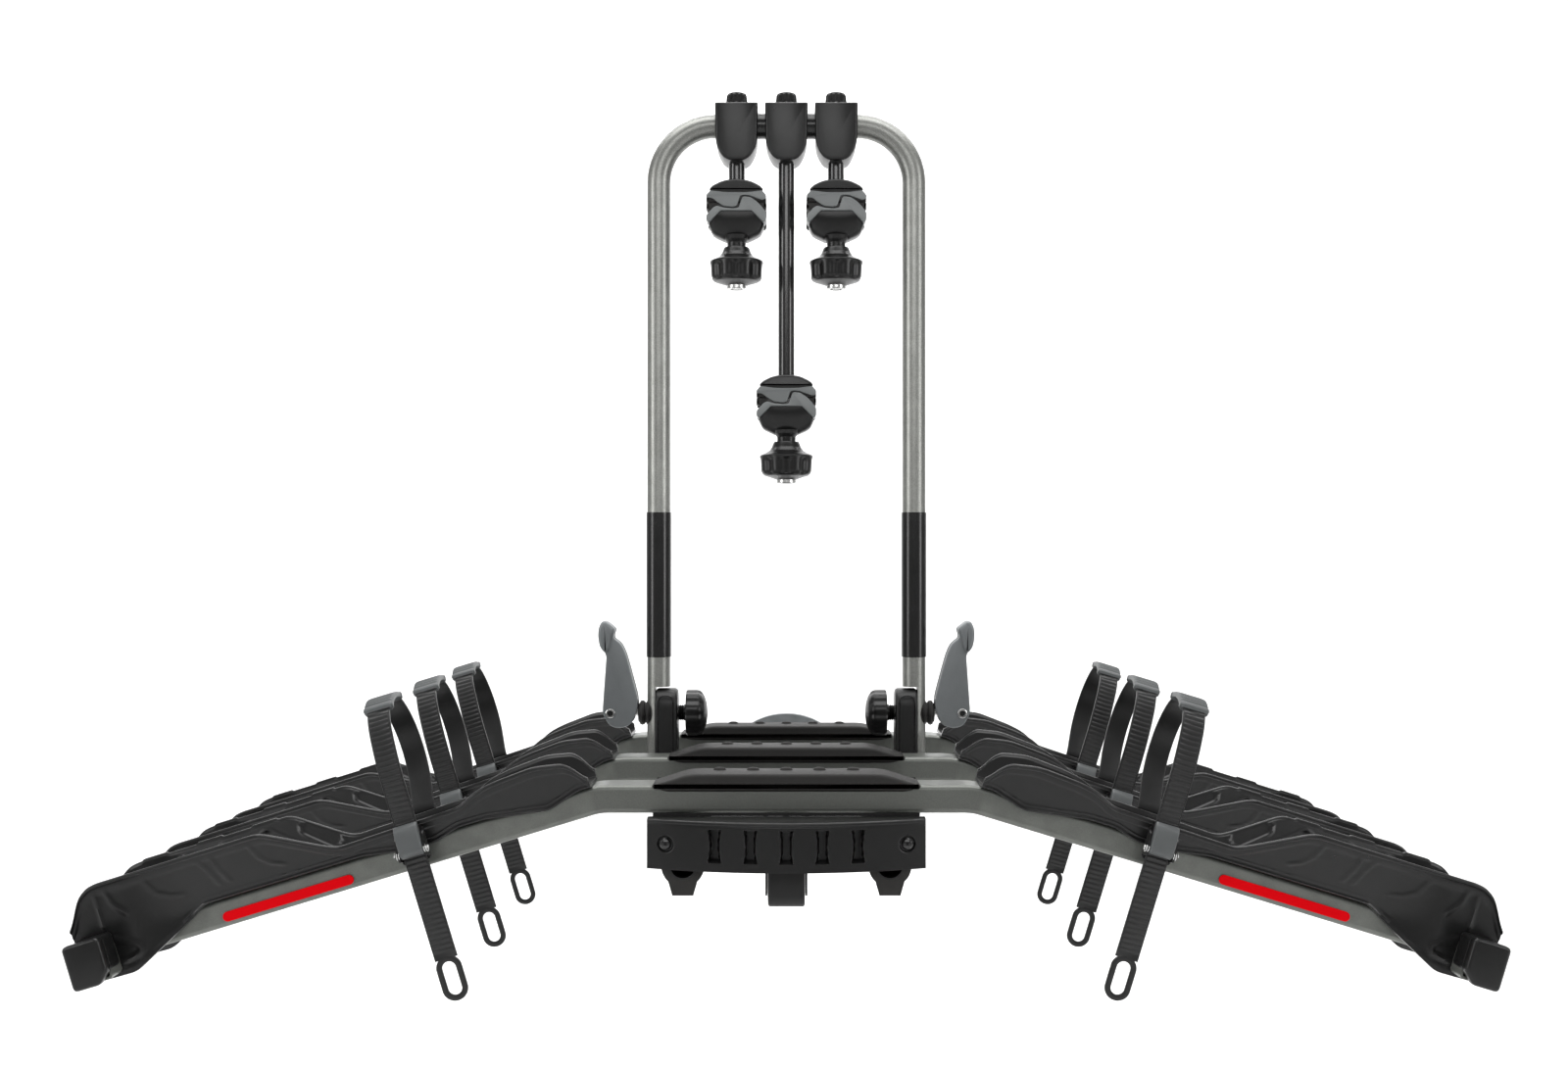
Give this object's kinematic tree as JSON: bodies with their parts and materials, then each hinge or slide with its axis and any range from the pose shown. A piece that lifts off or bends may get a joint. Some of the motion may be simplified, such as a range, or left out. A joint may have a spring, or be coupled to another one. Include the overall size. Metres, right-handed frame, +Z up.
{
  "type": "hitch mounted bike rack",
  "caption": "Fold-down platform rack on a square hitch shank: sloping wheel trays with ratchet straps, hoop mast and clamp arms.",
  "frame": {"origin": "centre of the hitch pin hole in the square shank, on the car's centre line", "axes": "+X across the car along the hitch pin, +Y forward into the receiver, +Z up"},
  "size_m": [1.3406, 0.842, 0.9463],
  "materials": {
    "frame_black": "satin black powder coat",
    "zinc_steel": "zinc plated",
    "beam_grey": "metallic grey powder coat",
    "mast_silver": "silver grey metallic powder coat",
    "rod_black": "gloss black",
    "black_rubber": "matt moulded rubber",
    "lever_grey": "cast, satin grey paint",
    "reflector_red": "red reflective film",
    "strap_black": "ribbed soft plastic",
    "grey_plastic": "satin moulded plastic",
    "sleeve_black": "satin shrunk sleeve",
    "black_plastic": "fine grained moulded plastic"
  },
  "bodies": {
    "hitch": {"hitch_shank": "frame_black", "tilt_bolt": "zinc_steel"},
    "platform": {"beam_front": "beam_grey", "beam_middle": "beam_grey", "beam_rear": "beam_grey", "buckle_bases": "black_plastic", "centre_frame": "frame_black", "centre_pads": "black_rubber", "cover_screws": "zinc_steel", "frame_cover": "black_plastic", "frame_rails": "frame_black", "mast_brackets": "frame_black", "pivot_bolts": "zinc_steel", "rail_feet": "black_rubber", "reflectors": "reflector_red", "rim_pads": "grey_plastic", "straps_left": "strap_black", "straps_right": "strap_black", "tie_bar_caps": "black_plastic", "tie_bars": "beam_grey", "tray_front_left": "black_plastic", "tray_front_right": "black_plastic", "tray_middle_left": "black_plastic", "tray_middle_right": "black_plastic", "tray_rear_left": "black_plastic", "tray_rear_right": "black_plastic"},
    "tension_lever": {"tension_lever": "lever_grey"},
    "foot_pedal": {"foot_pedal": "black_plastic"},
    "latch_rod": {"latch_rod": "frame_black"},
    "mast": {"mast_hoop": "mast_silver", "mast_sleeves": "sleeve_black", "pivot_cushions": "black_rubber"},
    "cam_lever_left": {"cam_lever_left": "lever_grey"},
    "mast_knob_left": {"mast_knob_left": "black_plastic"},
    "cam_lever_right": {"cam_lever_right": "lever_grey"},
    "mast_knob_right": {"mast_knob_right": "black_plastic"},
    "arm_left": {"head_left": "black_plastic", "arm_rod_left": "rod_black", "jaw_upper_left": "black_plastic"},
    "jaw_left": {"jaw_lower_left": "black_plastic"},
    "clamp_knob_left": {"clamp_knob_left": "black_plastic"},
    "head_knob_left": {"head_knob_left": "black_plastic"},
    "arm_middle": {"head_middle": "black_plastic", "arm_rod_middle": "rod_black", "jaw_upper_middle": "black_plastic"},
    "jaw_middle": {"jaw_lower_middle": "black_plastic"},
    "clamp_knob_middle": {"clamp_knob_middle": "black_plastic"},
    "head_knob_middle": {"head_knob_middle": "black_plastic"},
    "arm_right": {"head_right": "black_plastic", "arm_rod_right": "rod_black", "jaw_upper_right": "black_plastic"},
    "jaw_right": {"jaw_lower_right": "black_plastic"},
    "clamp_knob_right": {"clamp_knob_right": "black_plastic"},
    "head_knob_right": {"head_knob_right": "black_plastic"},
    "buckle_lever_front_left": {"buckle_lever_front_left": "grey_plastic"},
    "buckle_lever_front_right": {"buckle_lever_front_right": "grey_plastic"},
    "buckle_lever_middle_left": {"buckle_lever_middle_left": "grey_plastic"},
    "buckle_lever_middle_right": {"buckle_lever_middle_right": "grey_plastic"},
    "buckle_lever_rear_left": {"buckle_lever_rear_left": "grey_plastic"},
    "buckle_lever_rear_right": {"buckle_lever_rear_right": "grey_plastic"}
  },
  "joints": [
    {"name": "platform_tilt", "type": "hinge", "parent": "hitch", "child": "platform", "pos_m": [0, -0.192, 0.018], "axis": [1, 0, 0], "range_deg": [0, 40]},
    {"name": "mast_fold", "type": "hinge", "parent": "platform", "child": "mast", "pos_m": [0, -0.42, 0.128], "axis": [1, 0, 0], "range_deg": [0, 85]},
    {"name": "tension_lever_swing", "type": "hinge", "parent": "hitch", "child": "tension_lever", "pos_m": [0, -0.128, 0.038], "axis": [-1, 0, 0], "range_deg": [0, 55]},
    {"name": "pedal_press", "type": "hinge", "parent": "platform", "child": "foot_pedal", "pos_m": [0, -0.702, 0.006], "axis": [1, 0, 0], "range_deg": [0, 18], "stiffness_Nm_per_rad": 4, "springref_deg": -8.59},
    {"name": "latch_rod_slide", "type": "slide", "parent": "platform", "child": "latch_rod", "axis": [0, -1, 0], "range_m": [0, 0.00345]},
    {"name": "cam_left", "type": "hinge", "parent": "platform", "child": "cam_lever_left", "pos_m": [-0.2004, -0.42, 0.128], "axis": [0, -1, 0], "range_deg": [0, 78]},
    {"name": "mast_knob_left_turn", "type": "hinge", "parent": "platform", "child": "mast_knob_left", "pos_m": [-0.1, -0.42, 0.128], "axis": [1, 0, 0], "continuous": true},
    {"name": "cam_right", "type": "hinge", "parent": "platform", "child": "cam_lever_right", "pos_m": [0.2004, -0.42, 0.128], "axis": [0, 1, 0], "range_deg": [0, 78]},
    {"name": "mast_knob_right_turn", "type": "hinge", "parent": "platform", "child": "mast_knob_right", "pos_m": [0.1, -0.42, 0.128], "axis": [1, 0, 0], "continuous": true},
    {"name": "arm_left_swing", "type": "hinge", "parent": "mast", "child": "arm_left", "pos_m": [-0.0567, -0.42, 0.799], "axis": [1, 0, 0], "range_deg": [-100, 100]},
    {"name": "jaw_left_open", "type": "slide", "parent": "arm_left", "child": "jaw_left", "axis": [0, 0, -1], "range_m": [0, 0.012]},
    {"name": "clamp_knob_left_turn", "type": "hinge", "parent": "jaw_left", "child": "clamp_knob_left", "pos_m": [-0.0567, -0.429, 0.6375], "axis": [0, 0, -1], "range_deg": [0, 1080]},
    {"name": "head_knob_left_turn", "type": "hinge", "parent": "arm_left", "child": "head_knob_left", "pos_m": [-0.0567, -0.42, 0.828], "axis": [0, 0, 1], "range_deg": [0, 720]},
    {"name": "arm_middle_swing", "type": "hinge", "parent": "mast", "child": "arm_middle", "pos_m": [0, -0.42, 0.799], "axis": [1, 0, 0], "range_deg": [-100, 100]},
    {"name": "jaw_middle_open", "type": "slide", "parent": "arm_middle", "child": "jaw_middle", "axis": [0, 0, -1], "range_m": [0, 0.012]},
    {"name": "clamp_knob_middle_turn", "type": "hinge", "parent": "jaw_middle", "child": "clamp_knob_middle", "pos_m": [0, -0.429, 0.4165], "axis": [0, 0, -1], "range_deg": [0, 1080]},
    {"name": "head_knob_middle_turn", "type": "hinge", "parent": "arm_middle", "child": "head_knob_middle", "pos_m": [0, -0.42, 0.828], "axis": [0, 0, 1], "range_deg": [0, 720]},
    {"name": "arm_right_swing", "type": "hinge", "parent": "mast", "child": "arm_right", "pos_m": [0.0567, -0.42, 0.799], "axis": [1, 0, 0], "range_deg": [-100, 100]},
    {"name": "jaw_right_open", "type": "slide", "parent": "arm_right", "child": "jaw_right", "axis": [0, 0, -1], "range_m": [0, 0.012]},
    {"name": "clamp_knob_right_turn", "type": "hinge", "parent": "jaw_right", "child": "clamp_knob_right", "pos_m": [0.0567, -0.429, 0.6375], "axis": [0, 0, -1], "range_deg": [0, 1080]},
    {"name": "head_knob_right_turn", "type": "hinge", "parent": "arm_right", "child": "head_knob_right", "pos_m": [0.0567, -0.42, 0.828], "axis": [0, 0, 1], "range_deg": [0, 720]},
    {"name": "buckle_front_left", "type": "hinge", "parent": "platform", "child": "buckle_lever_front_left", "pos_m": [-0.35126, -0.746, 0.03126], "axis": [0.9568, 0, 0.2907], "range_deg": [0, 70]},
    {"name": "buckle_front_right", "type": "hinge", "parent": "platform", "child": "buckle_lever_front_right", "pos_m": [0.35126, -0.746, 0.03126], "axis": [0.9568, 0, -0.2907], "range_deg": [0, 70]},
    {"name": "buckle_middle_left", "type": "hinge", "parent": "platform", "child": "buckle_lever_middle_left", "pos_m": [-0.35126, -0.546, 0.03126], "axis": [0.9568, 0, 0.2907], "range_deg": [0, 70]},
    {"name": "buckle_middle_right", "type": "hinge", "parent": "platform", "child": "buckle_lever_middle_right", "pos_m": [0.35126, -0.546, 0.03126], "axis": [0.9568, 0, -0.2907], "range_deg": [0, 70]},
    {"name": "buckle_rear_left", "type": "hinge", "parent": "platform", "child": "buckle_lever_rear_left", "pos_m": [-0.35126, -0.346, 0.03126], "axis": [0.9568, 0, 0.2907], "range_deg": [0, 70]},
    {"name": "buckle_rear_right", "type": "hinge", "parent": "platform", "child": "buckle_lever_rear_right", "pos_m": [0.35126, -0.346, 0.03126], "axis": [0.9568, 0, -0.2907], "range_deg": [0, 70]}
  ],
  "couplings": [
    {"joint": "pedal_press", "follows": "latch_rod_slide", "rad_per_m": 91},
    {"joint": "jaw_left_open", "follows": "clamp_knob_left_turn", "m_per_rad": 0.000636},
    {"joint": "jaw_middle_open", "follows": "clamp_knob_middle_turn", "m_per_rad": 0.000636},
    {"joint": "jaw_right_open", "follows": "clamp_knob_right_turn", "m_per_rad": 0.000636}
  ]
}
